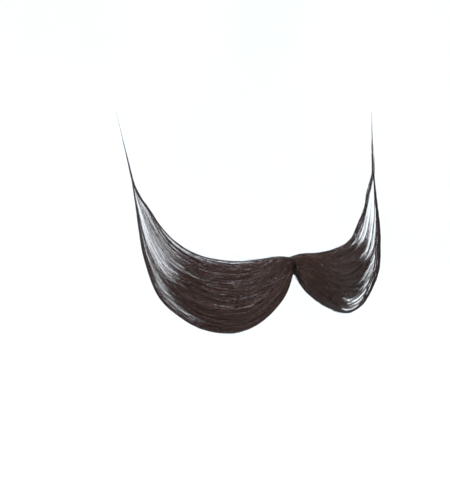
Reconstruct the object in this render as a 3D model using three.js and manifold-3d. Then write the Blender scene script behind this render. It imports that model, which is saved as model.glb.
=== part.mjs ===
// A false handlebar moustache in the form that it has when worn. Two wings of combed hair start side by
// side in the middle, sweep out and down, turn up and draw together into long upright points.
//
// Each wing is two layers of locks on one cloth backing: a thin layer of long locks, which make the
// lower rim, the upper edge and the point, and over it a thick layer of shorter locks, which end in a
// ragged edge.
//
// Millimetres. +Z is up and the front looks along -Y. The right wing is the one that is worn on the
// right, so it lies towards -X. The origin is the middle of the backing's back face, by which the whole
// piece is held.
import * as THREE from "three";
import { mergeVertices } from "three/addons/utils/BufferGeometryUtils.js";
import Module from "manifold-3d";

// Outline of the wings, seen from the front
const WING_REACH = 94.5; // from the middle out to the point
const RIGHT_DROP = 37; // from the origin down to the lowest hair of the right wing
const LEFT_DROP = 33.5;
const RIGHT_RISE = 108; // from the origin up to the end of the right point
const LEFT_RISE = 98.5;
const CENTRE_HEIGHT = 9; // height of the hair between the two wings, over the notch
const HUMP_HEIGHT = 2; // how far each wing rises beside the dip in the middle
const CENTRE_GAP = 0.6; // between the roots of the two wings

// How the wings bend back at the sides, seen from above and from the side
const WRAP_DEPTH = 26; // how far the outer end of a wing lies behind the middle
const WRAP_EASE = 1.5; // how much the bend back eases off towards the points, as a share of WRAP_DEPTH
const FLAT_HALF = 6; // half of the width that is flat, in the middle
const TIP_LEAN = 9; // how far the points lean forwards again

// Layers, from the back to the front
const BACKING_THICKNESS = 1;
const LAYER_GAP = 0.3;
const LONG_THICKNESS = 2;
const SHORT_THICKNESS = 7.5;

// Backing
const BACKING_HALF = 34; // half of its length
const BACKING_DROP = 12; // from the origin down to its lowest edge
const BACKING_INSET = 1; // how far it keeps inside the hair at the middle

// Locks
const SHORT_LOCKS = 9; // in each wing
const LOCK_OVERLAP = 1.35; // width of a short lock, as a share of the room that it has
const LOCK_STAGGER = 0.15; // how far every second short lock stands out
const SHORT_TAPER_START = 0.6; // where a short lock starts to narrow, as a share of its length
const SHORT_THIN_START = 0.75; // where it starts to thin, the same way
const EDGE_THINNING = 0.35; // how much thinner the short locks at a wing's two edges are, as a share
const END_THINNING = 0.7; // how much thinner a short lock gets towards its end, as a share
const LONG_LOCK_WIDTH = 2.6; // of one long lock between the rim and the upper edge
const UPPER_LOCK_WIDTH = 1.5;
const RIM_LOCK_WIDTH = 2.1;
const POINT_WIDTH = 0.5; // of the very end of a wing
const POINT_START = 0.7; // where the rim starts to thin out towards the point, as a share along the wing
const RIM_START = 0.02; // where the rim starts, as a share along the wing
const UPPER_START = 0.03; // where the upper edge's lock starts, the same way
const UPPER_LEAVE = 0.78; // where it leaves the upper edge for the rim
const UPPER_END = 0.93; // where it ends, in the rim
const LONG_TAPER = [0.4, 0.9]; // where a long lock's taper starts and ends, as shares of its length
const LOCK_END_WIDTH = 0.8; // of the end of every other lock
const SAG = 0.07; // how far the hair sags away from the upper edge's lock, as a share of the wing's height
const SAG_ALONG = [0.05, 0.2]; // where it starts and ends to sag, as shares along the wing
const LOCK_SIDE = 0.3; // height of a lock's straight side, as a share of its thickness
const LONG_LOCK_SLIMNESS = 0.8; // thickness of a long lock, as a share of the sheet that it starts in

const WINGS = {
  right: { side: -1, drop: RIGHT_DROP, rise: RIGHT_RISE },
  left: { side: 1, drop: LEFT_DROP, rise: LEFT_RISE },
};

// The two edges of a wing, a row for each step from the roots to the point. out is a share of
// WING_REACH, hump of HUMP_HEIGHT, drop of the way down to the lowest hair and rise of the way up to
// the point.
const UPPER_EDGE = [
  { out: 0, hump: 0, rise: 0 },
  { out: 0.09, hump: 1, rise: 0 },
  { out: 0.22, hump: 0.9, rise: 0 },
  { out: 0.37, hump: 0.6, rise: 0.012 },
  { out: 0.53, hump: 0.2, rise: 0.062 },
  { out: 0.655, hump: 0, rise: 0.135 },
  { out: 0.75, hump: 0, rise: 0.23 },
  { out: 0.82, hump: 0, rise: 0.34 },
  { out: 0.875, hump: 0, rise: 0.46 },
  { out: 0.915, hump: 0, rise: 0.58 },
  { out: 0.945, hump: 0, rise: 0.7 },
  { out: 0.975, hump: 0, rise: 0.85 },
  { out: 1, hump: 0, rise: 1 },
];
const LOWER_EDGE = [
  { out: 0.02, drop: 0, rise: 0 },
  { out: 0.085, drop: 0.42, rise: 0 },
  { out: 0.235, drop: 0.8, rise: 0 },
  { out: 0.43, drop: 1, rise: 0 },
  { out: 0.63, drop: 0.84, rise: 0 },
  { out: 0.785, drop: 0.45, rise: 0 },
  { out: 0.88, drop: 0.04, rise: 0 },
  { out: 0.93, drop: 0, rise: 0.17 },
  { out: 0.95, drop: 0, rise: 0.34 },
  { out: 0.96, drop: 0, rise: 0.5 },
  { out: 0.962, drop: 0, rise: 0.67 },
  { out: 0.98, drop: 0, rise: 0.84 },
  { out: 1, drop: 0, rise: 1 },
];

// The short locks' thickness as a share of SHORT_THICKNESS, along a wing from root (0) to point (1).
const THICKNESS_ALONG = [
  { along: 0, share: 0.6 },
  { along: 0.06, share: 0.9 },
  { along: 0.14, share: 1 },
  { along: 0.25, share: 0.8 },
  { along: 0.36, share: 0.5 },
  { along: 0.48, share: 0.2 },
];

// Where the short locks end, from the upper edge (0) to the rim (1). The ends step in and out by
// SHORT_END_STEP.
const SHORT_ENDS = [
  { across: 0, along: 0.37 },
  { across: 0.25, along: 0.46 },
  { across: 0.55, along: 0.44 },
  { across: 0.8, along: 0.36 },
  { across: 1, along: 0.28 },
];
const SHORT_END_STEP = 0.025;

// The long locks from the upper edge towards the rim. Their roots are one sheet. Each leaves its own
// line at leave and runs into the rim at end.
const SHEET_SHORTER = 0.05; // how far that sheet ends before the short locks do
const SHEET_OVERLAP = 0.05; // how far a long lock reaches back into the sheet
const LONG_LOCKS = [
  { across: 0.11, leave: 0.56, end: 0.78 },
  { across: 0.25, leave: 0.55, end: 0.76 },
  { across: 0.4, leave: 0.54, end: 0.735 },
  { across: 0.55, leave: 0.52, end: 0.71 },
  { across: 0.69, leave: 0.48, end: 0.67 },
  { across: 0.83, leave: 0.42, end: 0.6 },
];

// The backing's edges from its middle to its end: along is a share of BACKING_HALF, top of its upper
// edge's height and sag of the way down to BACKING_DROP.
const BACKING_EDGE = [
  { along: 0, top: 1, sag: 0 },
  { along: FLAT_HALF / BACKING_HALF, top: 1, sag: 0.4 },
  { along: 0.36, top: 1, sag: 0.85 },
  { along: 0.55, top: 1, sag: 1 },
  { along: 0.75, top: 0.9, sag: 0.95 },
  { along: 0.91, top: 0.4, sag: 0.7 },
  { along: 1, top: -0.5, sag: 0.2 },
];

const JOIN_TOLERANCE = 0.02; // slivers thinner than this are taken out where locks join

// How finely each kind of lock is divided, round it and along it
const SHORT_FACETS = { sides: 8, steps: 10 };
const LONG_FACETS = { sides: 6, steps: 10 };
const UPPER_FACETS = { sides: 6, steps: 20 };
const RIM_FACETS = { sides: 6, steps: 24 };

const LONG_BACK = BACKING_THICKNESS + LAYER_GAP;
const SHORT_BACK = LONG_BACK + LONG_THICKNESS + LAYER_GAP;

const wasm = await Module();
wasm.setup();

const { lerp, clamp, smoothstep } = THREE.MathUtils;

// A value from a table's rows, straight between one row and the next.
function readTable(rows, key, at, value) {
  const next = rows.findIndex((row) => row[key] >= at);
  if (next === 0) return rows[0][value];
  if (next < 0) return rows[rows.length - 1][value];
  const [before, after] = [rows[next - 1], rows[next]];
  return lerp(before[value], after[value], (at - before[key]) / (after[key] - before[key]));
}

// How far a wing lies behind the middle, at a place out from the middle and up from the origin.
function wrap(out, up, wing) {
  const s = Math.max(0, out - FLAT_HALF) / (WING_REACH - FLAT_HALF);
  return s * s * (WRAP_DEPTH * (1 + WRAP_EASE * (1 - s)) - TIP_LEAN * (up / wing.rise));
}

// The field of hair of one wing. strand(across, along) is a point (out, up) of it: across runs from the
// upper edge (0) to the rim (1), along from the roots (0) to the point (1).
function makeField(wing) {
  const half = CENTRE_HEIGHT / 2;
  const root = CENTRE_GAP / 2;
  const outOf = (row) => root + row.out * (WING_REACH - root);
  const upperUp = (row) => half + row.hump * HUMP_HEIGHT + row.rise * (wing.rise - half);
  const lowerUp = (row) => -half - row.drop * (wing.drop - half) + row.rise * (wing.rise + half);
  const upper = new THREE.SplineCurve(UPPER_EDGE.map((row) => new THREE.Vector2(outOf(row), upperUp(row))));
  const lower = new THREE.SplineCurve(LOWER_EDGE.map((row) => new THREE.Vector2(outOf(row), lowerUp(row))));
  const strand = (across, along) => upper.getPoint(along).lerp(lower.getPoint(along), across);
  const span = (along) => upper.getPoint(along).distanceTo(lower.getPoint(along));
  // The unit direction in the wing's surface that points across the hair, towards the rim.
  const acrossWay = (across, along) => {
    const step = 0.005;
    const before = strand(across, Math.max(0, along - step));
    const after = strand(across, Math.min(1, along + step));
    const way = after.sub(before).normalize();
    return new THREE.Vector2(way.y, -way.x);
  };
  const place = (point, depth) =>
    new THREE.Vector3(wing.side * point.x, wrap(point.x, point.y, wing) - depth, point.y);
  return { strand, span, acrossWay, place, mirrored: wing.side > 0 };
}

// A primitive bent into shape: move gives each of its vertices a new place. turned says that move
// mirrors it.
function bend(geometry, move, turned) {
  const plain = geometry.clone().deleteAttribute("normal").deleteAttribute("uv");
  const position = plain.getAttribute("position");
  const vertex = new THREE.Vector3();
  for (let i = 0; i < position.count; i += 1) {
    vertex.fromBufferAttribute(position, i);
    position.setXYZ(i, ...move(vertex).toArray());
  }
  const merged = mergeVertices(plain, 1e-4);
  if (turned) merged.setIndex(Array.from(merged.index.array).reverse());
  return merged;
}

// A closed geometry as a solid for joining and cutting.
function solidOf(geometry) {
  const mesh = new wasm.Mesh({
    numProp: 3,
    vertProperties: new Float32Array(geometry.getAttribute("position").array),
    triVerts: new Uint32Array(geometry.index.array),
  });
  return new wasm.Manifold(mesh);
}

// Solids joined into one, without the slivers that their crossings leave.
function join(solids) {
  return wasm.Manifold.union(solids).simplify(JOIN_TOLERANCE);
}

// One lock: a tube with a flat back and a round front, drawn along the hair from start to end.
function makeLock(field, lock) {
  const tube = new THREE.CylinderGeometry(1, 1, 1, lock.sides, lock.steps);
  const move = (vertex) => {
    const share = 0.5 - vertex.y;
    const along = lerp(lock.start, lock.end, share);
    const across = lock.acrossAt(along);
    const width = lock.widthAt(along, share);
    const thickness = lock.thicknessAt(along, share);
    // An edge lock keeps inside the wing's outline, so it is moved in by half its width.
    const inset = -(2 * across - 1) * (width / 2);
    const point = field.strand(across, along);
    point.addScaledVector(field.acrossWay(across, along), inset + (vertex.x * width) / 2);
    const front = clamp(lerp(LOCK_SIDE, 1, vertex.z), 0, 1);
    return field.place(point, lock.backAt(thickness) + front * thickness);
  };
  return solidOf(bend(tube, move, field.mirrored));
}

function makeShortLayer(field) {
  const locks = [];
  for (let i = 0; i < SHORT_LOCKS; i += 1) {
    const across = i / (SHORT_LOCKS - 1);
    const step = (i % 2 === 0 ? 1 : -1) * SHORT_END_STEP;
    locks.push({
      start: 0,
      end: readTable(SHORT_ENDS, "across", across, "along") + step,
      ...SHORT_FACETS,
      acrossAt: (along) => sagged(across, along),
      backAt: () => SHORT_BACK + (i % 2) * LOCK_STAGGER,
      widthAt: (along, share) => {
        const room = (LOCK_OVERLAP * field.span(along)) / SHORT_LOCKS;
        return lerp(room, Math.min(room, LOCK_END_WIDTH), smoothstep(share, SHORT_TAPER_START, 1));
      },
      thicknessAt: (along, share) => {
        const full = SHORT_THICKNESS * readTable(THICKNESS_ALONG, "along", along, "share");
        const edge = 1 - EDGE_THINNING * (2 * across - 1) ** 2;
        return full * edge * (1 - END_THINNING * smoothstep(share, SHORT_THIN_START, 1));
      },
    });
  }
  return join(locks.map((lock) => makeLock(field, lock)));
}

// Where hair that starts at across lies, once it has sagged.
function sagged(across, along) {
  return lerp(across, 1, SAG * smoothstep(along, ...SAG_ALONG));
}

// Where the sheet that joins the roots of the long locks ends.
function sheetEnd(across) {
  return readTable(SHORT_ENDS, "across", across, "along") - SHEET_SHORTER;
}

function makeSheet(field) {
  const slab = new THREE.BoxGeometry(1, 1, 1, 6, 12, 1);
  const move = (vertex) => {
    const across = vertex.x + 0.5;
    const along = (0.5 - vertex.y) * sheetEnd(across);
    const point = field.strand(sagged(across, along), along);
    return field.place(point, LONG_BACK + (vertex.z + 0.5) * LONG_THICKNESS);
  };
  return solidOf(bend(slab, move, field.mirrored));
}

function makeLongLayer(field) {
  const slim = LONG_LOCK_SLIMNESS * LONG_THICKNESS;
  const centred = (thickness) => LONG_BACK + (LONG_THICKNESS - thickness) / 2;
  const locks = LONG_LOCKS.map(({ across, leave, end }) => ({
    start: sheetEnd(across) - SHEET_OVERLAP,
    end,
    ...LONG_FACETS,
    acrossAt: (along) => lerp(sagged(across, along), 1, smoothstep(along, leave, end)),
    backAt: centred,
    widthAt: (along, share) => lerp(LONG_LOCK_WIDTH, LOCK_END_WIDTH, smoothstep(share, ...LONG_TAPER)),
    thicknessAt: (along, share) => lerp(slim, LOCK_END_WIDTH, smoothstep(share, ...LONG_TAPER)),
  }));
  locks.push({
    start: UPPER_START,
    end: UPPER_END,
    ...UPPER_FACETS,
    acrossAt: (along) => smoothstep(along, UPPER_LEAVE, UPPER_END),
    backAt: centred,
    widthAt: (along) => lerp(UPPER_LOCK_WIDTH, LOCK_END_WIDTH, smoothstep(along, UPPER_LEAVE, UPPER_END)),
    thicknessAt: (along) => lerp(UPPER_LOCK_WIDTH, LOCK_END_WIDTH, smoothstep(along, UPPER_LEAVE, UPPER_END)),
  });
  locks.push({
    start: RIM_START,
    end: 1,
    ...RIM_FACETS,
    acrossAt: () => 1,
    backAt: () => LONG_BACK,
    widthAt: (along) => lerp(RIM_LOCK_WIDTH, POINT_WIDTH, smoothstep(along, POINT_START, 1)),
    thicknessAt: (along) => lerp(LONG_THICKNESS, POINT_WIDTH, smoothstep(along, POINT_START, 1)),
  });
  return join([makeSheet(field), ...locks.map((lock) => makeLock(field, lock))]);
}

// One strip of cloth behind both wings, flat in the middle.
function makeBacking() {
  const half = CENTRE_HEIGHT / 2 - BACKING_INSET;
  const rows = BACKING_EDGE.length - 1;
  const slab = new THREE.BoxGeometry(2 * rows, 1, 1, 2 * rows, 2, 1);
  const move = (vertex) => {
    const row = BACKING_EDGE[Math.abs(Math.round(vertex.x))];
    const wing = vertex.x < 0 ? WINGS.right : WINGS.left;
    const out = row.along * BACKING_HALF;
    const top = row.top * half;
    const bottom = -lerp(half, BACKING_DROP, row.sag);
    const up = lerp(bottom, top, vertex.y + 0.5);
    const depth = (vertex.z + 0.5) * BACKING_THICKNESS;
    return new THREE.Vector3(Math.sign(vertex.x) * out, wrap(out, up, wing) - depth, up);
  };
  return bend(slab, move, false);
}

// A solid as a geometry that a mesh can show.
function geometryOf(solid) {
  const mesh = solid.getMesh();
  const geometry = new THREE.BufferGeometry();
  geometry.setAttribute("position", new THREE.BufferAttribute(mesh.vertProperties, 3));
  geometry.setIndex(new THREE.BufferAttribute(mesh.triVerts, 1));
  geometry.computeVertexNormals();
  return geometry;
}

const HAIR = { color: 0x2b2422, roughness: 0.55, metalness: 0 };
const CLOTH = { color: 0x1d1a1a, roughness: 0.95, metalness: 0 };

const moustache = new THREE.Group();

function addPiece(name, geometry, finish) {
  const mesh = new THREE.Mesh(geometry, new THREE.MeshStandardMaterial(finish));
  mesh.name = name;
  moustache.add(mesh);
}

addPiece("backing", makeBacking(), CLOTH);
for (const [name, wing] of Object.entries(WINGS)) {
  const field = makeField(wing);
  addPiece(`${name}_long_hair`, geometryOf(makeLongLayer(field)), HAIR);
  addPiece(`${name}_short_hair`, geometryOf(makeShortLayer(field)), HAIR);
}

export default moustache;
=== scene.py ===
"""Looks of a long false handlebar moustache: two wings of combed hair on a cloth backing.

Each wing is one field of hair. A place in it has a share across, from the upper edge (0) to the rim (1),
and a share along, from the roots (0) to the point (1). Strands run along the field over a dark core. They
are short in the dense middle and long in the rim, the upper edge and the veil between them.

Metres. Sizes given in millimetres are multiplied by MM.
"""

import math

import bpy
import numpy as np
from mathutils import Matrix, Vector


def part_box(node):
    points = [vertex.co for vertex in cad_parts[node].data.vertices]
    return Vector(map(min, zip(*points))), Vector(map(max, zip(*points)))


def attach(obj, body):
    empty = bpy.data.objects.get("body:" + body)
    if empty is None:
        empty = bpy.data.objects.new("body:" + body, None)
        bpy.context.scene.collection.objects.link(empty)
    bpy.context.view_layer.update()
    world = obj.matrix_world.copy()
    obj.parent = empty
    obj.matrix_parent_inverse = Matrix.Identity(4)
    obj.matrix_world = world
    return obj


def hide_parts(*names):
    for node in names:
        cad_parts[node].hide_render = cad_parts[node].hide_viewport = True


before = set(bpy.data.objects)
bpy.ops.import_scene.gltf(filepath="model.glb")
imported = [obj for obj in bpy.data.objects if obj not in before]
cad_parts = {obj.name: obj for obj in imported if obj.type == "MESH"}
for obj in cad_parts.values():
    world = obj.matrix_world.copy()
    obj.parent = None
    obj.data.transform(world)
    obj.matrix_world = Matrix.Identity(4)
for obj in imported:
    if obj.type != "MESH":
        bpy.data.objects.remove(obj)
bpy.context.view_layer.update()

MM = 0.001

# View: the camera's direction, seen from the middle of the moustache, and the photo's frame
VIEW_AZIMUTH = -30.0
VIEW_ELEVATION = -6.1
VIEW_ROLL = -9.5
VIEW_DISTANCE = 1.1
FRAME_WIDTH_PX, FRAME_HEIGHT_PX = 450, 500
PX_PER_MM = 1.6
DIP = Vector((0, -4 * MM, 4.5 * MM))  # the dip between the two wings
DIP_PX = (290.1, 258.1)
SENSOR_MM = 36.0

# Form of the wings, the same as the solids have
CENTRE_HEIGHT = 9 * MM
HUMP_HEIGHT = 2 * MM
CENTRE_GAP = 0.6 * MM
WRAP_DEPTH = 26 * MM
WRAP_EASE = 1.5
FLAT_HALF = 6 * MM
TIP_LEAN = 9 * MM
LONG_BACK = 1.3 * MM
LONG_THICKNESS = 2 * MM
LONG_MIDDLE = LONG_BACK + LONG_THICKNESS / 2
FULL_THICKNESS = 9.8 * MM  # of both layers together, where they are thickest

# The two edges of a wing from the roots to the point, as shares of its reach, hump, drop and rise
UPPER_EDGE = {
    "out": (0, 0.09, 0.22, 0.37, 0.53, 0.655, 0.75, 0.82, 0.875, 0.915, 0.945, 0.975, 1),
    "hump": (0, 1, 0.9, 0.6, 0.2, 0, 0, 0, 0, 0, 0, 0, 0),
    "rise": (0, 0, 0, 0.012, 0.062, 0.135, 0.23, 0.34, 0.46, 0.58, 0.7, 0.85, 1),
}
LOWER_EDGE = {
    "out": (0.02, 0.085, 0.235, 0.43, 0.63, 0.785, 0.88, 0.93, 0.95, 0.96, 0.962, 0.98, 1),
    "drop": (0, 0.42, 0.8, 1, 0.84, 0.45, 0.04, 0, 0, 0, 0, 0, 0),
    "rise": (0, 0, 0, 0, 0, 0, 0, 0.17, 0.34, 0.5, 0.67, 0.84, 1),
}

# Thickness of the hair along a wing, as shares
THICKNESS_ALONG = {
    "along": (0, 0.02, 0.05, 0.1, 0.16, 0.25, 0.36, 0.48, 0.6),
    "share": (0.55, 0.74, 0.86, 0.95, 1, 0.82, 0.55, 0.3, 0.2),
}
SIDE_HEIGHT = 0.1  # height of the hair's front at the two edges, as a share of its height in the middle
BULGE_POWER = 3.5  # the higher, the flatter the front is between the edges

# How strands run in the field
SAG_ALONG = (0.05, 0.14)  # where the dense part starts and ends to sag away from the upper edge
FAN = 3  # power that draws the roots up towards the dip, from where the strands fan out
LOOSE_FAN = 1.2  # the same for the few wisps that fan out little
FAN_END = 0.24
JOIN_ALONG = (0.6, 0.86)  # where the two edges draw together below the point
OVER_END = 0.09  # where the roots that reach past the middle have come back to their own side

# Backing: its edges from the middle to an end, out as a share of BACKING_HALF, top of its upper edge's
# height and sag of the way down to BACKING_DROP
BACKING_HALF = 34 * MM
BACKING_DROP = 12 * MM
BACKING_INSET = 1 * MM
BACKING_EDGE = {
    "out": (0, 0.176, 0.36, 0.55, 0.75, 0.91, 1),
    "top": (1, 1, 1, 1, 0.9, 0.4, -0.5),
    "sag": (0, 0.4, 0.85, 1, 0.95, 0.7, 0.2),
}
CLOTH_THICKNESS = 0.5 * MM
HEM_RADIUS = 0.45 * MM
HEM_STITCHES = 120
KNOT_ROWS = (0.14, 0.32, 0.5, 0.68, 0.86)
KNOTS_IN_ROW = 56
THREAD_RADIUS = 0.13 * MM
BACKING_SEED = 13

# The right wing ends in a soft veil of hair. The left one ends in sharp locks, with few strands beyond.
WINGS = {
    "right": {
        "side": -1,
        "seed": 11,
        "sag": 0.07,  # how far the dense part hangs below the upper edge, as a share across
        "dense_end": {  # how far along the wing the dense part ends, for shares across
            "across": (0, 0.25, 0.6, 0.8, 0.92, 1),
            "along": (0.345, 0.395, 0.41, 0.395, 0.345, 0.285),
        },
        "end_scatter": 0.045,  # how unevenly its wisps end
        "run_on": 0.14,  # share of its strands that run on past the others
        "locks": 17,
        "lock_gather": 0.5,  # how far the strands of a lock draw together at its end
        "gather_from": 0.4,  # share of their length from which they do
        "lock_spread": 0.03,  # how much the locks differ in length
        "lock_point": 0.07,  # how much further the middle of a lock runs than its sides
        "lock_swing": 0,  # how far the end of a lock turns towards the rim, as a share across
        "rim_bundles": (0, 0.3 * MM, 0.8 * MM, 1.5 * MM, 2.4 * MM),  # how far in each one lies
        "rim_apart": {  # the share of that distance that holds along the wing
            "along": (0, 0.25, 0.4, 0.55, 0.75),
            "share": (0.2, 0.4, 1, 0.8, 0),
        },
        "upper_bundles": (0, 0.3 * MM, 2.3 * MM, 3.3 * MM, 4.8 * MM),
        "upper_width": 1,  # width of each bundle along the upper edge, in proportion
        "rim_width": 1,
        "waver": 0.35 * MM,  # slow waver of a bundle
        "ripple": 0.1 * MM,  # its quick waver
        "frizz": 0.1 * MM,  # quick waver of each strand
        "tone_spread": 0.09,  # how much the wisps differ in tone: their own random tone, set higher than on the left wing because the key light falls on this one, as painted light
        "glint_share": 0.14,  # share of places on a wisp where a glint is painted into its tone; far more than on the left wing, which faces away from the key light
        "fringe_count": 170,
        "fringe_hang": 2.2,  # how far the fringe hangs, in times the sag
        "veil_count": 600,
        "veil_groups": 40,
        "veil_width": 0.06 * MM,
        "veil_tone": 0.3,
        "veil_loose": 0.6 * MM,  # slow waver of each strand of the veil
        "veil_lean": 1,  # under 1, more of the groups lie by the rim
        "veil_end": (0.52, 0.8),  # how far along the wing the groups end
        "veil_spread": 0.03,  # how far a strand lies from the middle of its group, as a share across
        "veil_pull": 0.15,  # how far the groups draw towards the wing's two edges
    },
    "left": {
        "side": 1,
        "seed": 12,
        "sag": 0.04,
        "dense_end": {
            "across": (0, 0.2, 0.45, 0.56, 0.64, 0.75, 0.88, 1),
            "along": (0.355, 0.38, 0.385, 0.35, 0.275, 0.205, 0.145, 0.11),
        },
        "end_scatter": 0.012,
        "run_on": 0.03,
        "locks": 14,
        "lock_gather": 0.92,
        "gather_from": 0.66,
        "lock_spread": 0.05,
        "lock_point": 0.32,
        "lock_swing": 0.11,
        "rim_bundles": (0, 0.6 * MM, 1.8 * MM, 3.3 * MM, 4.8 * MM),
        "rim_apart": {"along": (0, 0.3, 0.42, 0.56, 0.66, 0.78), "share": (0.1, 0.15, 1, 0.9, 0.4, 0)},
        "upper_bundles": (0, 0.4 * MM, 1.1 * MM, 1.9 * MM, 3 * MM),
        "upper_width": 1.2,
        "rim_width": 0.7,
        "waver": 0.8 * MM,
        "ripple": 0.5 * MM,
        "frizz": 0.3 * MM,
        "tone_spread": 0.05,
        "glint_share": 0.01,
        "fringe_count": 110,
        "fringe_hang": 1.5,
        "veil_count": 120,
        "veil_groups": 20,
        "veil_width": 0.2 * MM,
        "veil_tone": 0.05,
        "veil_loose": 0.12 * MM,
        "veil_lean": 0.95,
        "veil_end": (0.48, 0.74),
        "veil_spread": 0.008,
        "veil_pull": 0.3,
    },
}

# Numbers of strands in a wing, and of places along each
SHORT_COUNT, SHORT_STEPS = 5200, 12
SHORT_PIECES = 2
STRAY_COUNT = 40
VEIL_STEPS = 16
RIM_COUNT, UPPER_COUNT, LONG_STEPS = 150, 90, 44
BUNDLE_SHARES = (0.42, 0.2, 0.15, 0.13, 0.1)  # of the strands along an edge

# Wisps of the dense part. Levels run from the wing's back (0) to the front of its hair (1), and tones from
# the darkest hair (0) to a painted glint (1), a highlight put into the hair's colour.
WISPS = 900
EARLY_SHARE = 0.45  # share of the wisps that start at the roots
EARLY_ROOT = (0, 0.03)
LATE_ROOT = (0.05, 0.55)  # of the others, as shares of the dense part's length
OUTER_SHARE, INNER_SHARE = 0.68, 0.16  # shares of the wisps, and the rest are rear ones
OUTER_LEVEL, INNER_LEVEL, REAR_LEVEL = (0.88, 1.03), (0.1, 0.9), (0, 0.06)
LOOSE_SHARE = 0.15  # share of the wisps that fan out little
WISP_DRIFT, WISP_WAVE = 1.1 * MM, 0.4 * MM  # how far they drift sideways, and forwards and back
PAST_MIDDLE = (-0.5 * MM, 4 * MM)  # how far the early roots reach past the middle
SHORT_TONE_AND_SHADE = (0.19, 0.11)  # of a wisp at the upper edge and of one at the rim: the hair's own dark tone, lighter at the upper edge and darker at the rim as painted light and shade
LOCK_TONE_SPREAD = 0.04
GLINT = 0.45  # how much lighter a wisp is painted where it glints: a painted highlight in its tone

# Strands of the dense part, each in its wisp
PACE = (0.75, 1.35)  # power that spaces the places along a strand, the same for a whole wisp
ROOT_SPREAD = 0.04
END_SPREAD = 0.012
RUN_ON_LENGTH = 0.05
SHORTEST = 0.1
SHORT_SPREAD = 0.005  # how far a strand lies from the middle of its wisp, as a share across
SHORT_DRIFT, SHORT_WAVE, SHORT_CURL = 0.25 * MM, 0.2 * MM, 0.1 * MM
SHORT_RADIUS = (0.06 * MM, 0.11 * MM)

# The other groups: where they start and end or how long they are, as shares along the wing, how far they
# drift sideways and stand forwards, their radius, and their tone with its spread
VEIL = {
    "overlap": (0.08, 0.25),  # how far the roots reach back into the dense part
    "shortest": 0.12,
    "end_spread": 0.03,
    "parting": 0.3,  # strands with a lesser share across draw towards the upper edge, the others to the rim
    "group_forward": (-0.8 * MM, 1.4 * MM),
    "forward_spread": 0.1 * MM,
    "drift": 0.7 * MM,
    "thickness": (0.75, 1.25),  # as shares of the width
    "tone_spread": 0.1,
}
FRINGE = {
    "root": (0.01, 0.3),
    "length": (0.15, 0.3),
    "drift": 0.5 * MM,
    "forward": (-0.5 * MM, 1.5 * MM),
    "radius": (0.06 * MM, 0.09 * MM),
    "tone": (0.25, 0.15),
}
STRAY = {
    "root": (0.05, 0.35),
    "length": (0.08, 0.2),
    "across": (0.0, 0.5, 1.0),
    "across_odds": (0.4, 0.3, 0.3),
    "across_spread": 0.03,
    "drift": 0.5 * MM,
    "lift": 2 * MM,  # how far the ends turn away sideways
    "forward": (-0.5 * MM, 2 * MM),
    "radius": (0.04 * MM, 0.06 * MM),
    "tone": (0.3, 0.15),
}
RIM = {
    "root": (0.02, 0.4),
    "end": (0.72, 0.9),
    "point_share": 0.2,  # share of the strands that make the point
    "point_end": (0.93, 1),
    "forward": 0.5,  # of the bundles' width
    "radius": (0.06 * MM, 0.1 * MM),
    "tone": (0.1, 0.1),
}
UPPER = {
    "root": (0.02, 0.12),
    "end": (0.8, 0.93),
    "forward": 0.4,
    "radius": (0.05 * MM, 0.08 * MM),
    "tone": (0.12, 0.1),
}

# Width of the bundles along the two edges, in millimetres, and how far apart the upper ones are, as a share
RIM_WIDTH_ALONG = {"along": (0, 0.3, 0.5, 0.7, 0.85, 1), "width": (0.3, 0.35, 0.6, 0.75, 0.45, 0.12)}
UPPER_WIDTH_ALONG = {"along": (0, 0.1, 0.35, 0.6, 0.8, 1), "width": (0.3, 0.25, 0.4, 0.6, 0.5, 0.25)}
UPPER_APART = {"along": (0, 0.15, 0.35, 0.5, 0.62, 1), "share": (0, 0.4, 1, 0.8, 0.2, 0)}

# Map of a piece on the unit square, in which each strand has a cell, as shares of a cell
CELL_MARGIN = 0.08
CAP_PLACE = 0.05
CAP_RADIUS = 0.002

FLECK_AND_GLINT_SCALE = (1, 2.6, 2.6)  # makes the flecks on the hair longer than they are high: they vary its tone and cut the painted glints into short dashes

# Backdrop, in metres
STAGE_FLOOR = -0.32
STAGE_HUB = 0.6
STAGE_RADIUS = 2.6
STAGE_CURVE = 0.8
STAGE_TOP = 2.2
STAGE_TURNS, STAGE_STEPS = 64, 12

# Lights, each a disc turned to the origin: azimuth and elevation, distance, size, power and colour
LIGHTS = {
    "key": (-70, 50, 1.6, 0.4, 72, (0.76, 0.88, 1.0)),
    "fill": (5, 20, 1.8, 1.2, 15, (1.0, 0.9, 0.84)),
    "back": (150, 50, 1.8, 1.0, 20, (1.0, 1.0, 1.0)),
}
WORLD_STRENGTH = 0.6


def read_table(table, key, at, value):
    return np.interp(at, table[key], table[value])


def smoothstep(x, start, end):
    share = np.clip((x - start) / (end - start), 0, 1)
    return share * share * (3 - 2 * share)


def mix(a, b, share):
    return a + (b - a) * share


def unit(vectors):
    return vectors / np.maximum(np.linalg.norm(vectors, axis=-1, keepdims=True), 1e-12)


def spline(points, share):
    """Points of the Catmull-Rom curve through points, at shares of its length in steps."""
    last = len(points) - 1
    place = np.clip(share, 0, 1) * last
    step = np.minimum(place.astype(int), last - 1)
    t = (place - step)[..., None]
    before, start = points[np.maximum(step - 1, 0)], points[step]
    end, after = points[step + 1], points[np.minimum(step + 2, last)]
    leave, arrive = (end - before) / 2, (after - start) / 2
    cubic = (2 * start - 2 * end + leave + arrive) * t**3
    square = (3 * end - 3 * start - 2 * leave - arrive) * t**2
    return cubic + square + leave * t + start


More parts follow.
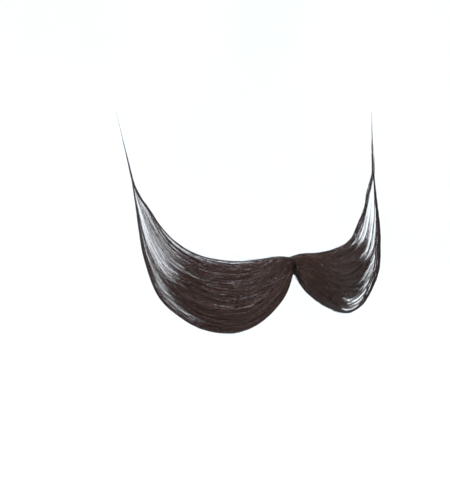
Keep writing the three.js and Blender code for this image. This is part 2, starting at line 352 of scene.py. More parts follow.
class Wing:
    """The field of hair of one wing. Its reach, drop and rise come from the frame."""

    def __init__(self, name):
        low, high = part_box(f"{name}_long_hair")
        self.traits = WINGS[name]
        self.side = self.traits["side"]
        self.reach = max(abs(low.x), abs(high.x))
        self.drop, self.rise = -low.z, high.z
        half = CENTRE_HEIGHT / 2
        root = CENTRE_GAP / 2
        upper = {key: np.array(row) for key, row in UPPER_EDGE.items()}
        lower = {key: np.array(row) for key, row in LOWER_EDGE.items()}
        upper_out, lower_out = (root + row["out"] * (self.reach - root) for row in (upper, lower))
        upper_up = half + upper["hump"] * HUMP_HEIGHT + upper["rise"] * (self.rise - half)
        lower_up = lower["rise"] * (self.rise + half) - half - lower["drop"] * (self.drop - half)
        self.upper = np.stack([upper_out, upper_up], axis=1)
        self.lower = np.stack([lower_out, lower_up], axis=1)

    def flat(self, across, along):
        """Places (out, up) in the field, as seen from the front."""
        return mix(spline(self.upper, along), spline(self.lower, along), across[..., None])

    def wrap(self, out, up):
        """How far the wing lies behind the middle."""
        s = np.maximum(0, out - FLAT_HALF) / (self.reach - FLAT_HALF)
        return s * s * (WRAP_DEPTH * (1 + WRAP_EASE * (1 - s)) - TIP_LEAN * up / self.rise)

    def dense_end(self, across):
        return read_table(self.traits["dense_end"], "across", across, "along")

    def sagged(self, across, along):
        """The dense part hangs a little below the upper edge."""
        return mix(across, 1, self.traits["sag"] * smoothstep(along, *SAG_ALONG))

    def place(self, across, along, shift, depth, over):
        """Points of the field, moved by shift to the rim, by depth forwards and by over past the middle."""
        nearby = 0.005
        across = mix(across, 0.5, smoothstep(along, *JOIN_ALONG))
        way = unit(self.flat(across, along + nearby) - self.flat(across, along - nearby))
        here = self.flat(across, along)
        out = here[..., 0] + way[..., 1] * shift - over
        up = here[..., 1] - way[..., 0] * shift
        return np.stack([self.side * out, self.wrap(out, up) - depth, up], axis=-1)


def front_of(across, along):
    """How far the front of the dense hair stands off the curve of the wing's back."""
    arch = np.sqrt(np.clip(1 - np.abs(2 * across - 1) ** BULGE_POWER, 0, 1))
    thickness = FULL_THICKNESS * read_table(THICKNESS_ALONG, "along", along, "share")
    return LONG_BACK + thickness * mix(SIDE_HEIGHT, 1, arch)


def wander(rng, count, steps, size, waves=(0.6, 2.2)):
    """Smooth sideways drift of count strands, which grows from their roots to their ends."""
    u = np.linspace(0, 1, steps)[None, :]
    drift = np.zeros((count, steps))
    for _ in range(2):
        wave = rng.uniform(*waves, (count, 1))
        phase = rng.uniform(0, 2 * math.pi, (count, 1))
        drift += np.sin(2 * math.pi * wave * u + phase) * rng.normal(0, 0.6, (count, 1))
    return size * drift * (0.25 + 0.75 * u)


def taper(u, start, end_share):
    return mix(1, end_share, smoothstep(u, start, 1))


def draw(rng, count, span):
    """A number for each strand, anywhere between the two of span."""
    return rng.uniform(*span, (count, 1))


def scatter(rng, count, middle, spread):
    """A number for each strand, close to middle."""
    return middle + rng.normal(0, spread, (count, 1))


def make_wisps(wing, rng):
    """Wisps of the dense part, a row for each: where it starts and ends, how it lies and its tone, with
    painted glints and painted shade towards the rim.
    """
    traits = wing.traits
    locks = traits["locks"]
    lock_centre = (np.arange(locks) + rng.uniform(0.2, 0.8, locks)) / locks
    lock_reach = rng.uniform(-1, 1, locks) * traits["lock_spread"]
    lock_tone = rng.uniform(-LOCK_TONE_SPREAD, LOCK_TONE_SPREAD, locks)

    centre = (np.arange(WISPS) + rng.random(WISPS)) / WISPS
    lock = np.abs(centre[:, None] - lock_centre[None, :]).argmin(axis=1)
    aside = np.abs(centre - lock_centre[lock]) * locks
    early = rng.random(WISPS) < EARLY_SHARE
    late_root = rng.uniform(*LATE_ROOT, WISPS) * wing.dense_end(centre)
    root = np.where(early, rng.uniform(*EARLY_ROOT, WISPS), late_root)
    end = wing.dense_end(lock_centre[lock]) + lock_reach[lock]
    end += traits["lock_point"] * (0.25 - aside**1.2) + rng.normal(0, traits["end_scatter"], WISPS)
    kind = rng.random(WISPS)
    outer, inner, rear = (rng.uniform(*span, WISPS) for span in (OUTER_LEVEL, INNER_LEVEL, REAR_LEVEL))
    # Lower down, where the key light falls less, the wisps differ less in tone and carry fewer painted
    # glints: painted shade.
    shade_low_down = smoothstep(centre, 0.3, 0.8)
    spread = traits["tone_spread"] * mix(1, 0.5, shade_low_down)
    # Lighter at the upper edge and darker at the rim: painted light and shade over the hair's own tone and
    # the random lock and wisp tones.
    tone = mix(*SHORT_TONE_AND_SHADE, centre) + lock_tone[lock] + rng.normal(0, spread)
    glint_share = traits["glint_share"] * mix(1, 0.2, shade_low_down)[:, None]
    # Places where a wisp glints get a painted highlight added to its tone.
    glint = GLINT * (rng.random((WISPS, SHORT_STEPS)) < glint_share)
    fan = np.where(rng.random(WISPS) < LOOSE_SHARE, LOOSE_FAN, FAN)
    inside = mix(0.25, 1, smoothstep(centre, 0, 0.2)) * mix(1, 0.4, smoothstep(centre, 0.85, 1))
    shift = wander(rng, WISPS, SHORT_STEPS, WISP_DRIFT) * inside[:, None]
    depth = wander(rng, WISPS, SHORT_STEPS, WISP_WAVE)
    over = np.where(early, rng.uniform(*PAST_MIDDLE, WISPS) * mix(1, 0.5, centre), 0)
    wisps = {
        "centre": centre,
        "lock_centre": lock_centre[lock],
        "root": root,
        "end": end,
        "level": np.select([kind < OUTER_SHARE, kind < OUTER_SHARE + INNER_SHARE], [outer, inner], rear),
        "spread": spread,
        "tone": tone[:, None] + glint,
        "fan": fan,
        "shift": shift,
        "depth": depth,
        "over": over,
    }
    return {key: rows.reshape(WISPS, -1) for key, rows in wisps.items()}


def short_strands(wing, rng, count):
    """Strands of the dense part. They lie in wisps, and the wisps draw together into pointed locks."""
    traits = wing.traits
    wisps = make_wisps(wing, rng)
    wisp = rng.integers(0, WISPS, count)
    own = {key: rows[wisp] for key, rows in wisps.items()}
    u = np.linspace(0, 1, SHORT_STEPS)[None, :] ** draw(rng, WISPS, PACE)[wisp]
    root = own["root"] + draw(rng, count, (0, ROOT_SPREAD))
    end = scatter(rng, count, own["end"], END_SPREAD)
    runs_on = rng.random((count, 1)) < traits["run_on"]
    end += np.where(runs_on, rng.exponential(RUN_ON_LENGTH, (count, 1)), 0)
    end = np.maximum(end, root + SHORTEST)
    along = mix(root, end, u)

    across = np.clip(scatter(rng, count, own["centre"], SHORT_SPREAD), 0, 1)
    across = mix(across, own["centre"], 0.5 * smoothstep(u, 0.3, 1))
    pointed = smoothstep(u, traits["gather_from"], 1)
    across = mix(across, own["lock_centre"], traits["lock_gather"] * pointed)
    across = np.minimum(across + traits["lock_swing"] * pointed, 1)
    across = across ** mix(own["fan"], 1, smoothstep(along, 0, FAN_END))
    across = wing.sagged(across, along)

    level = own["level"] * mix(0.92, 1, smoothstep(u, 0, 0.15))
    level = mix(level, 0.4, 0.6 * smoothstep(u, 0.65, 1))
    depth = mix(LONG_BACK, front_of(across, along), level)
    curl = wander(rng, count, SHORT_STEPS, SHORT_CURL, (1.5, 3))
    tone_scatter = rng.normal(0, own["spread"], (count, SHORT_STEPS))
    return {
        "along": along,
        "across": across,
        "shift": own["shift"] + wander(rng, count, SHORT_STEPS, SHORT_DRIFT) + curl,
        "depth": depth + own["depth"] + wander(rng, count, SHORT_STEPS, SHORT_WAVE),
        "over": own["over"] * (1 - smoothstep(along, 0, OVER_END)),
        "radius": draw(rng, count, SHORT_RADIUS) * taper(u, 0.7, 0.3),
        "tone": np.clip(own["tone"] + tone_scatter, 0, 1),
    }


def veil_strands(wing, rng):
    """Thin strands that run on from the dense part, in small groups that lean towards the two edges."""
    u = np.linspace(0, 1, VEIL_STEPS)[None, :]
    traits = wing.traits
    count, groups = traits["veil_count"], traits["veil_groups"]
    group = np.floor(groups * rng.random(count) ** traits["veil_lean"]).astype(int)
    across = np.clip(scatter(rng, count, (group[:, None] + 0.5) / groups, traits["veil_spread"]), 0, 1)
    root = wing.dense_end(across) - draw(rng, count, VEIL["overlap"])
    end = scatter(rng, count, draw(rng, groups, traits["veil_end"])[group], VEIL["end_spread"])
    end = np.maximum(end, root + VEIL["shortest"])
    along = mix(root, end, u)
    edge = np.where(across < VEIL["parting"], 0, 1)
    pull = traits["veil_pull"] * smoothstep(np.abs(across - VEIL["parting"]), 0, 0.3)
    pull = pull * smoothstep(along, mix(root, end, 0.4), end)
    forward = scatter(rng, count, draw(rng, groups, VEIL["group_forward"])[group], VEIL["forward_spread"])
    drift = wander(rng, groups, VEIL_STEPS, VEIL["drift"])[group]
    drift += wander(rng, count, VEIL_STEPS, traits["veil_loose"])
    drift += wander(rng, count, VEIL_STEPS, traits["frizz"], (2.5, 5))
    return {
        "along": along,
        "across": mix(wing.sagged(across, along), edge, pull),
        "shift": drift * taper(u, 0.6, 0.3),
        "depth": LONG_MIDDLE + forward * taper(u, 0.3, 0.4),
        "radius": traits["veil_width"] / 2 * draw(rng, count, VEIL["thickness"]) * taper(u, 0.7, 0.5),
        "tone": scatter(rng, count, traits["veil_tone"], VEIL["tone_spread"]),
    }


def fringe_strands(wing, rng):
    """Loose strands between the upper edge and the dense part, which hangs a little below it."""
    u = np.linspace(0, 1, VEIL_STEPS)[None, :]
    count = wing.traits["fringe_count"]
    root = draw(rng, count, FRINGE["root"])
    along = mix(root, root + draw(rng, count, FRINGE["length"]), u)
    hang = draw(rng, count, (0, wing.traits["fringe_hang"]))
    return {
        "along": along,
        "across": hang * wing.traits["sag"] * smoothstep(along, *SAG_ALONG),
        "shift": wander(rng, count, VEIL_STEPS, FRINGE["drift"]),
        "depth": LONG_MIDDLE + draw(rng, count, FRINGE["forward"]),
        "radius": draw(rng, count, FRINGE["radius"]) * taper(u, 0.6, 0.4),
        "tone": scatter(rng, count, *FRINGE["tone"]),
    }


def stray_strands(rng, count):
    """Single hairs that stand off the dense part."""
    u = np.linspace(0, 1, VEIL_STEPS)[None, :]
    root = draw(rng, count, STRAY["root"])
    along = mix(root, root + draw(rng, count, STRAY["length"]), u)
    across = rng.choice(STRAY["across"], (count, 1), p=STRAY["across_odds"])
    across = np.clip(scatter(rng, count, across, STRAY["across_spread"]), 0, 1)
    drift = wander(rng, count, VEIL_STEPS, STRAY["drift"])
    return {
        "along": along,
        "across": across,
        "shift": drift + scatter(rng, count, 0, STRAY["lift"]) * u**2,
        "depth": front_of(across, along) + draw(rng, count, STRAY["forward"]) * u,
        "radius": draw(rng, count, STRAY["radius"]) * taper(u, 0.5, 0.3),
        "tone": scatter(rng, count, *STRAY["tone"]),
    }


def bundled(rng, count, offsets, apart, width, traits):
    """Shifts of strands that lie in a few bundles, which keep apart by their offsets and waver."""
    bundle = rng.choice(len(offsets), count, p=BUNDLE_SHARES)
    waver = wander(rng, len(offsets), LONG_STEPS, traits["waver"], (1.5, 4))
    waver += wander(rng, len(offsets), LONG_STEPS, traits["ripple"], (5, 10))
    inward = np.array(offsets)[bundle][:, None] * apart + width * np.abs(rng.normal(0, 0.42, (count, 1)))
    return inward + waver[bundle] + wander(rng, count, LONG_STEPS, traits["frizz"], (5, 11))


def rim_strands(wing, rng, count):
    """The bundles along the rim. A few of their strands make the point."""
    u = np.linspace(0, 1, LONG_STEPS)[None, :]
    traits = wing.traits
    to_point = rng.random((count, 1)) < RIM["point_share"]
    root = draw(rng, count, RIM["root"])
    end = np.where(to_point, draw(rng, count, RIM["point_end"]), draw(rng, count, RIM["end"]))
    along = mix(root, end, u)
    apart = read_table(traits["rim_apart"], "along", along, "share")
    width = read_table(RIM_WIDTH_ALONG, "along", along, "width") * traits["rim_width"] * MM
    inward = bundled(rng, count, traits["rim_bundles"], apart, width, traits)
    return {
        "along": along,
        "across": 1,
        "shift": -inward * taper(along, 0.6, 0.2),
        "depth": LONG_MIDDLE + width * draw(rng, count, (-RIM["forward"], RIM["forward"])),
        "radius": draw(rng, count, RIM["radius"]) * taper(u, 0.6, 0.35),
        "tone": scatter(rng, count, *RIM["tone"]),
    }


def upper_strands(wing, rng, count):
    """The thin bundles along the upper edge, which run into the rim below the point."""
    u = np.linspace(0, 1, LONG_STEPS)[None, :]
    traits = wing.traits
    root = draw(rng, count, UPPER["root"])
    end = draw(rng, count, UPPER["end"])
    along = mix(root, end, u)
    apart = read_table(UPPER_APART, "along", along, "share")
    width = read_table(UPPER_WIDTH_ALONG, "along", along, "width") * traits["upper_width"] * MM
    inward = bundled(rng, count, traits["upper_bundles"], apart, width, traits)
    return {
        "along": along,
        "across": 0,
        "shift": inward * taper(along, 0.7, 0.3),
        "depth": LONG_MIDDLE + width * draw(rng, count, (-UPPER["forward"], UPPER["forward"])),
        "radius": draw(rng, count, UPPER["radius"]) * taper(u, 0.6, 0.5),
        "tone": scatter(rng, count, *UPPER["tone"]),
    }


def make_mesh(name, points, corners, starts, uv=None, tone=None):
    """A smooth mesh object from arrays. Corners names each face's points in a row, and starts says where
    each face begins in it."""
    mesh = bpy.data.meshes.new(name)
    mesh.vertices.add(len(points))
    mesh.vertices.foreach_set("co", points.astype(np.float32).ravel())
    mesh.loops.add(len(corners))
    mesh.loops.foreach_set("vertex_index", corners.astype(np.int32))
    mesh.polygons.add(len(starts))
    mesh.polygons.foreach_set("loop_start", starts.astype(np.int32))
    mesh.polygons.foreach_set("use_smooth", np.ones(len(starts), bool))
    mesh.update(calc_edges=True)
    if uv is not None:
        mesh.uv_layers.new(name="OFBake").uv.foreach_set("vector", uv.astype(np.float32).ravel())
    if tone is not None:
        values = mesh.attributes.new("tone", "FLOAT", "POINT").data
        values.foreach_set("value", tone.astype(np.float32).ravel())
    mesh.validate()
    obj = bpy.data.objects.new(name, mesh)
    bpy.context.scene.collection.objects.link(obj)
    return obj


def make_tubes(name, path, radius, sides, turn=0, tone=None):
    """One mesh of closed tubes along path, an array of (tubes, steps, 3). Radius may be one number, or one
    for each step, as tone is."""
    count, steps = path.shape[:2]
    way = unit(np.gradient(path, axis=1))
    aside = unit(np.cross(way, np.array([0.0, -1.0, 0.01])))
    forward = np.cross(aside, way)
    angle = turn + 2 * math.pi * np.arange(sides) / sides
    ring = np.cos(angle)[..., None] * aside[:, :, None] + np.sin(angle)[..., None] * forward[:, :, None]
    points = path[:, :, None] + np.broadcast_to(radius, (count, steps))[:, :, None, None] * ring

    index = np.arange(count * steps * sides).reshape(count, steps, sides)
    turned = np.roll(index, -1, axis=2)
    walls = np.stack([index[:, :-1], index[:, 1:], turned[:, 1:], turned[:, :-1]], axis=-1).reshape(-1, 4)
    root_caps, end_caps = index[:, 0], index[:, -1, ::-1]
    corners = np.concatenate([walls.ravel(), root_caps.ravel(), end_caps.ravel()])
    starts = np.concatenate([np.arange(len(walls)) * 4, 4 * len(walls) + sides * np.arange(2 * count)])
    if tone is not None:
        tone = np.repeat(tone[:, :, None], sides, axis=2)
    return make_mesh(name, points.reshape(-1, 3), corners, starts, strand_map(count, steps, sides), tone)


def make_strands(name, wing, rng, groups):
    """The groups' strands as tapered tubes in one mesh."""
    field = {
        key: np.concatenate([np.broadcast_to(group.get(key, 0), group["along"].shape) for group in groups])
        for key in ("across", "along", "shift", "depth", "over", "radius", "tone")
    }
    path = wing.place(*(field[key] for key in ("across", "along", "shift", "depth", "over")))
    turn = rng.uniform(0, 2 * math.pi, (len(path), 1, 1))
    return make_tubes(name, path, field["radius"], 3, turn, field["tone"])


def strand_map(count, steps, sides):
    """A place on the square for each corner of each face: every strand has its own cell."""
    columns = math.ceil(math.sqrt(count))
    cell = 1 / columns
    number = np.arange(count)
    origin = np.stack([number % columns, number // columns], axis=-1) * cell
    across = mix(CELL_MARGIN, 1 - CELL_MARGIN, np.arange(sides + 1) / sides)
    up = mix(CELL_MARGIN, 1 - CELL_MARGIN, np.arange(steps) / (steps - 1))
    grid = np.stack(np.meshgrid(across, up), axis=-1)
    quads = np.stack([grid[:-1, :-1], grid[1:, :-1], grid[1:, 1:], grid[:-1, 1:]], axis=-2)
    walls = origin[:, None, None, None] + quads * cell
    angle = 2 * math.pi * np.arange(sides) / sides
    cap = CAP_PLACE + CAP_RADIUS * np.stack([np.cos(angle), np.sin(angle)], axis=-1)
    caps = origin[:, None] + cap * cell
    return np.concatenate([walls.reshape(-1, 2), caps.reshape(-1, 2), caps.reshape(-1, 2)])


def make_slab(name, front, back, flip=False):
    """A closed slab between two grids of points, (rows, columns, 3), with walls round its edge."""
    rows, columns = front.shape[:2]
    size = rows * columns
    index = np.arange(size).reshape(rows, columns)
    quads = np.stack([index[:-1, :-1], index[:-1, 1:], index[1:, 1:], index[1:, :-1]], axis=-1)
    quads = quads.reshape(-1, 4)
    rim = np.concatenate([index[0, :-1], index[:-1, -1], index[-1, :0:-1], index[:0:-1, 0]])
    after = np.roll(rim, -1)
    walls = np.stack([after, rim, rim + size, after + size], axis=-1)
    faces = np.concatenate([quads, quads[:, ::-1] + size, walls])
    if flip:
        faces = faces[:, ::-1]
    points = np.concatenate([front.reshape(-1, 3), back.reshape(-1, 3)])
    return make_mesh(name, points, faces.ravel(), 4 * np.arange(len(faces)))


def make_core(name, wing):
    """The dark inside of the dense part: a closed slab, a little smaller than the hair over it."""
    rows, columns = 26, 16
    along = np.linspace(0.05, 0.82, rows)[:, None]
    across = np.linspace(0.05, 0.95, columns)[None, :] + 0 * along
    along = along * wing.dense_end(across)
    path_across = wing.sagged(across, along)
    front = mix(LONG_BACK, front_of(path_across, along), 0.8)
    back = LONG_BACK + 0.3 * MM + 0 * front
    sides = [wing.place(path_across, along, 0, depth, 0) for depth in (front, back)]
    return make_slab(name, *sides, flip=wing.side < 0)


def backing_place(wings, along, up_share, depth):
    """Points of the backing: along runs from its right end (-1) to its left end (1), and up_share from its
    lower edge (0) to its upper one (1)."""
    edge = {key: np.array(row) for key, row in BACKING_EDGE.items()}
    half = CENTRE_HEIGHT / 2 - BACKING_INSET
    top = np.stack([edge["out"] * BACKING_HALF, edge["top"] * half], axis=1)
    bottom = np.stack([edge["out"] * BACKING_HALF, -mix(half, BACKING_DROP, edge["sag"])], axis=1)
    share = np.abs(along)
    flat = mix(spline(bottom, share), spline(top, share), up_share[..., None])
    out, up = flat[..., 0], flat[..., 1]
    back = np.where(along < 0, wings["right"].wrap(out, up), wings["left"].wrap(out, up))
    return np.stack([np.sign(along) * out, back - depth, up], axis=-1)


def make_backing(wings):
    """The cloth strip, slightly quilted between the rows of knots that hold the hair."""
    along, up_share = np.meshgrid(np.linspace(-1, 1, 97), np.linspace(0, 1, 31), indexing="xy")
    gap = KNOT_ROWS[1] - KNOT_ROWS[0]
    quilt = 0.12 * MM * np.abs(np.sin(math.pi * (up_share - KNOT_ROWS[0]) / gap))
    front, back = (backing_place(wings, along, up_share, depth - quilt) for depth in (CLOTH_THICKNESS, 0))
    return make_slab("backing_cloth", front, back)


def hem_path(wings, share):
    """Points round the backing's edge, at shares of the way along its bottom, up, back over its top and
    down."""
    stops = (0, 0.46, 0.5, 0.96, 1)
    along = np.interp(share, stops, (-1, 1, 1, -1, -1))
    up_share = np.interp(share, stops, (0, 0, 1, 1, 0))
    return backing_place(wings, along, up_share, CLOTH_THICKNESS / 2)


def make_hem(wings):
    return make_tubes("backing_hem", hem_path(wings, np.linspace(0, 1, 240))[None], HEM_RADIUS, 6)


def make_stitches(wings, rng):
    """Whip stitches over the hem."""
    share = (np.arange(HEM_STITCHES) + 0.5) / HEM_STITCHES
    middle = hem_path(wings, share)
    way = unit(hem_path(wings, share + 0.002) - hem_path(wings, share - 0.002))
    forward = np.array([0.0, -1.0, 0.0])
    outward = unit(np.cross(way, forward))
    angle = np.linspace(-2.1, 2.1, 7)[None, :, None]
    slant = rng.uniform(0.25, 0.45, (HEM_STITCHES, 1, 1)) * MM * angle
    round_hem = np.cos(angle) * outward[:, None] + np.sin(angle) * forward
    path = middle[:, None] + HEM_RADIUS * 1.1 * round_hem + slant * way[:, None]
    return make_tubes("backing_stitches", path, THREAD_RADIUS, 4)


def make_knots(wings, rng):
    """Rows of small knots on the back of the cloth, where the hair is tied in."""
    rows, places = np.meshgrid(KNOT_ROWS, np.linspace(-0.93, 0.93, KNOTS_IN_ROW), indexing="ij")
    count = rows.size
    u = np.linspace(-1, 1, 5)[None, :]
    along = places.reshape(-1, 1) + rng.normal(0, 0.004, (count, 1)) + 0.011 * u
    up_share = rows.reshape(-1, 1) + rng.normal(0, 0.012, (count, 1)) + 0.02 * u
    path = backing_place(wings, along, up_share, 0.1 * MM - 0.25 * MM * (1 - u**2))
    return make_tubes("backing_knots", path, THREAD_RADIUS, 4)


class Nodes:
    """A short way to write a material's nodes."""

    def __init__(self, name):
        self.material = bpy.data.materials.new(name)
        self.material.use_nodes = True
        self.tree = self.material.node_tree
        self.shader = self.tree.nodes["Principled BSDF"]

    def add(self, kind, inputs=(), **settings):
        node = self.tree.nodes.new(kind)
        for key, value in settings.items():
            setattr(node, key, value)
        for key, value in dict(inputs).items():
            self.set(node, key, value)
        return node

    def set(self, node, key, value):
        if isinstance(value, bpy.types.NodeSocket):
            self.tree.links.new(value, node.inputs[key])
        else:
            node.inputs[key].default_value = value

    def shade(self, **inputs):
        for key, value in inputs.items():
            self.set(self.shader, key.replace("_", " "), value)

    def ramp(self, value, stops):
        node = self.add("ShaderNodeValToRGB", {"Fac": value})
        node.color_ramp.elements[0].position, node.color_ramp.elements[0].color = stops[0]
        node.color_ramp.elements[1].position, node.color_ramp.elements[1].color = stops[-1]
        for place, colour in stops[1:-1]:
            node.color_ramp.elements.new(place).color = colour
        return node.outputs["Color"]


def grey(value):
    return (value, value, value, 1)


def hair_material():
    nodes = Nodes("synthetic_hair")
    tone = nodes.add("ShaderNodeAttribute", attribute_name="tone").outputs["Fac"]
    place = nodes.add("ShaderNodeTexCoord").outputs["Object"]
    noise = nodes.add("ShaderNodeTexNoise", {"Vector": place, "Scale": 160.0, "Detail": 3.0}).outputs[0]
    combed = nodes.add("ShaderNodeVectorMath", {0: place, 1: FLECK_AND_GLINT_SCALE}, operation="MULTIPLY").outputs[0]
    kinks = nodes.add("ShaderNodeTexNoise", {"Vector": combed, "Scale": 400.0, "Detail": 2.0}).outputs[0]
    # Noise that multiplies the tone: it varies the hair's own tone and breaks the painted glints into short
    # dashes.
    flecks_and_glint_dashes = nodes.add("ShaderNodeMapRange", {
        "Value": kinks, "From Min": 0.36, "From Max": 0.64, "To Min": 0.3, "To Max": 1.7,
    }).outputs[0]
    blend = nodes.add("ShaderNodeMath", {0: tone, 1: flecks_and_glint_dashes, 2: 0.25}, operation="MULTIPLY_ADD").outputs[0]
    # From dark brown hair to lighter brown; the bluish white at the top is a painted glint, a highlight of
    # the bluish key light.
    colour = nodes.ramp(blend, [
        (0.22, (0.012, 0.0055, 0.0038, 1)),
        (0.42, (0.034, 0.0165, 0.012, 1)),
        (0.62, (0.048, 0.03, 0.027, 1)),
        (0.85, (0.14, 0.125, 0.13, 1)),
    ])
    rough = nodes.add("ShaderNodeMapRange", {"Value": noise, "To Min": 0.2, "To Max": 0.4}).outputs[0]
    bump = nodes.add("ShaderNodeBump", {"Height": kinks, "Distance": 0.4 * MM, "Strength": 0.5})
    nodes.shade(Base_Color=colour, Roughness=rough, Normal=bump.outputs["Normal"], Specular_IOR_Level=0.14)
    return nodes.material


def core_material():
    nodes = Nodes("hair_core")
    place = nodes.add("ShaderNodeTexCoord").outputs["Object"]
    noise = nodes.add("ShaderNodeTexNoise", {"Vector": place, "Scale": 300.0, "Detail": 4.0}).outputs["Fac"]
    colour = nodes.ramp(noise, [(0.3, (0.006, 0.005, 0.0045, 1)), (0.7, (0.014, 0.011, 0.010, 1))])
    bump = nodes.add("ShaderNodeBump", {"Height": noise, "Distance": 0.3 * MM, "Strength": 0.6})
    nodes.shade(Base_Color=colour, Roughness=0.8, Normal=bump.outputs["Normal"])
    return nodes.material


def cloth_material():
    """Fine black net: two sets of threads that cross."""
    nodes = Nodes("woven_backing")
    place = nodes.add("ShaderNodeTexCoord").outputs["Object"]
    threads = []
    for direction in ("X", "Z"):
        form = {"Vector": place, "Scale": 520.0, "Distortion": 0.4}
        wave = nodes.add("ShaderNodeTexWave", form, wave_type="BANDS", bands_direction=direction)
        threads.append(wave.outputs["Fac"])
    weave = nodes.add("ShaderNodeMath", {0: threads[0], 1: threads[1]}, operation="MAXIMUM").outputs[0]
    colour = nodes.ramp(weave, [(0.2, (0.004, 0.003, 0.003, 1)), (0.9, (0.02, 0.016, 0.015, 1))])
    bump = nodes.add("ShaderNodeBump", {"Height": weave, "Distance": 0.2 * MM, "Strength": 0.8})
    nodes.shade(Base_Color=colour, Roughness=0.85, Normal=bump.outputs["Normal"], Specular_IOR_Level=0.2)
    return nodes.material


def thread_material():
    """Twisted black thread: fine slanted ply marks."""
    nodes = Nodes("sewing_thread")
    place = nodes.add("ShaderNodeTexCoord").outputs["Object"]
    form = {"Vector": place, "Scale": 900.0, "Distortion": 1.0}
    wave = nodes.add("ShaderNodeTexWave", form, wave_type="BANDS", bands_direction="DIAGONAL")
    ply = wave.outputs["Fac"]
    colour = nodes.ramp(ply, [(0.2, (0.02, 0.016, 0.015, 1)), (0.8, (0.07, 0.058, 0.054, 1))])
    bump = nodes.add("ShaderNodeBump", {"Height": ply, "Distance": 0.1 * MM, "Strength": 0.6})
    nodes.shade(Base_Color=colour, Roughness=0.6, Normal=bump.outputs["Normal"])
    return nodes.material


def stage_material():
    nodes = Nodes("pale_backdrop")
    place = nodes.add("ShaderNodeTexCoord").outputs["Object"]
    noise = nodes.add("ShaderNodeTexNoise", {"Vector": place, "Scale": 3.0}).outputs["Fac"]
    nodes.shade(Base_Color=nodes.ramp(noise, [(0.3, grey(0.76)), (0.7, grey(0.8))]), Roughness=0.9)
    return nodes.material


def direction(azimuth, elevation):
    """The unit vector to a place round the moustache, in degrees: 0, 0 is straight before it."""
    azimuth, elevation = math.radians(azimuth), math.radians(elevation)
    across = math.cos(elevation)
    return Vector((math.sin(azimuth) * across, -math.cos(azimuth) * across, math.sin(elevation)))


def make_camera():
    back = direction(VIEW_AZIMUTH, VIEW_ELEVATION)
    level = direction(VIEW_AZIMUTH + 90, 0)
    roll = math.radians(VIEW_ROLL)
    upright = back.cross(level)
    right = level * math.cos(roll) + upright * math.sin(roll)
    up = upright * math.cos(roll) - level * math.sin(roll)
    px = MM / PX_PER_MM  # one pixel at the dip, in metres
    aside = (DIP_PX[0] - FRAME_WIDTH_PX / 2) * px
    above = (FRAME_HEIGHT_PX / 2 - DIP_PX[1]) * px
    data = bpy.data.cameras.new("camera")
    data.sensor_width = SENSOR_MM
    data.lens = VIEW_DISTANCE / (FRAME_HEIGHT_PX * px) * SENSOR_MM
    camera = bpy.data.objects.new("camera", data)
    turn = Matrix((right, up, back)).transposed().to_4x4()
    camera.matrix_world = Matrix.Translation(DIP + back * VIEW_DISTANCE - right * aside - up * above) @ turn
    bpy.context.scene.collection.objects.link(camera)
    bpy.context.scene.camera = camera


def make_light(name, azimuth, elevation, distance, size, power, colour):
    way = direction(azimuth, elevation)
    data = bpy.data.lights.new(name, "AREA")
    data.shape, data.size, data.energy, data.color = "DISK", size, power, colour
    light = bpy.data.objects.new(name, data)
    light.location = way * distance
    light.rotation_euler = way.to_track_quat("Z", "Y").to_euler()
    bpy.context.scene.collection.objects.link(light)


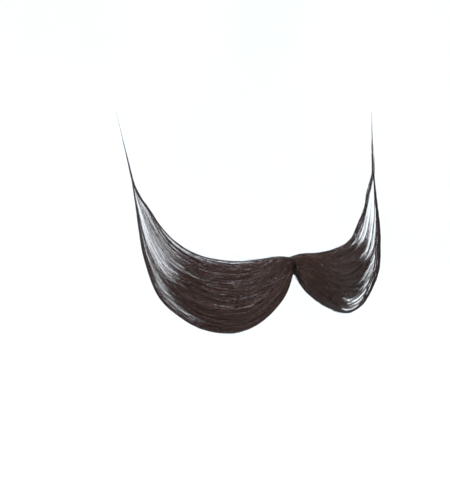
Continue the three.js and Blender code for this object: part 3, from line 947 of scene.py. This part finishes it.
def make_stage():
    """A pale round floor whose rim curves up into a wall, the same from all sides."""
    profile = [(STAGE_HUB, STAGE_FLOOR)]
    for bend in np.linspace(0, math.pi / 2, STAGE_STEPS):
        out = STAGE_RADIUS - STAGE_CURVE * (1 - math.sin(bend))
        profile.append((out, STAGE_FLOOR + STAGE_CURVE * (1 - math.cos(bend))))
    profile.append((STAGE_RADIUS, STAGE_TOP))
    angle = 2 * math.pi * np.arange(STAGE_TURNS) / STAGE_TURNS
    circle = np.stack([np.cos(angle), np.sin(angle), np.zeros(STAGE_TURNS)], axis=-1)
    rings = [circle * out + (0, 0, height) for out, height in profile]
    points = np.concatenate([*rings, [[0, 0, STAGE_FLOOR]]])
    index = np.arange(len(profile) * STAGE_TURNS).reshape(-1, STAGE_TURNS)
    turned = np.roll(index, -1, axis=1)
    quads = np.stack([index[1:], turned[1:], turned[:-1], index[:-1]], axis=-1).reshape(-1, 4)
    hub = np.stack([index[0], turned[0], np.full(STAGE_TURNS, len(points) - 1)], axis=-1)
    corners = np.concatenate([quads.ravel(), hub.ravel()])
    starts = np.concatenate([4 * np.arange(len(quads)), 4 * len(quads) + 3 * np.arange(STAGE_TURNS)])
    stage = make_mesh("backdrop", points, corners, starts)
    stage.data.materials.append(stage_material())


def make_world():
    world = bpy.data.worlds.new("world")
    world.use_nodes = True
    background = world.node_tree.nodes["Background"]
    background.inputs["Color"].default_value = grey(1)
    background.inputs["Strength"].default_value = WORLD_STRENGTH
    bpy.context.scene.world = world
    bpy.context.scene.view_settings.view_transform = "Standard"


def dress(piece, material, *nodes, slot="hair"):
    """Give a piece its material, hang it from the root body and hide the solids it stands for."""
    piece.data.materials.append(material)
    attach(piece, "root")
    if nodes:
        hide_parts(*nodes)


make_camera()
make_stage()
make_world()
for light, settings in LIGHTS.items():
    make_light(light, *settings)

hair, core_finish = hair_material(), core_material()
wings = {name: Wing(name) for name in WINGS}

rng = np.random.default_rng(BACKING_SEED)
cloth, thread = cloth_material(), thread_material()
backing, hem = make_backing(wings), make_hem(wings)
stitches, knots = make_stitches(wings, rng), make_knots(wings, rng)
for piece, material in ((backing, cloth), (hem, cloth), (stitches, thread), (knots, thread)):
    dress(piece, material, "backing", slot="cloth")

for name, wing in wings.items():
    rng = np.random.default_rng(wing.traits["seed"])
    dress(make_core(f"{name}_core", wing), core_finish, f"{name}_short_hair")
    short = short_strands(wing, rng, SHORT_COUNT)
    for number in range(SHORT_PIECES):
        part = {key: rows[number::SHORT_PIECES] for key, rows in short.items()}
        piece = make_strands(f"{name}_short_strands_{number + 1}", wing, rng, [part])
        dress(piece, hair, f"{name}_short_hair")
    veil = [veil_strands(wing, rng), fringe_strands(wing, rng), stray_strands(rng, STRAY_COUNT)]
    dress(make_strands(f"{name}_veil_strands", wing, rng, veil), hair, f"{name}_long_hair")
    bundles = [rim_strands(wing, rng, RIM_COUNT), upper_strands(wing, rng, UPPER_COUNT)]
    dress(make_strands(f"{name}_long_strands", wing, rng, bundles), hair, f"{name}_long_hair")
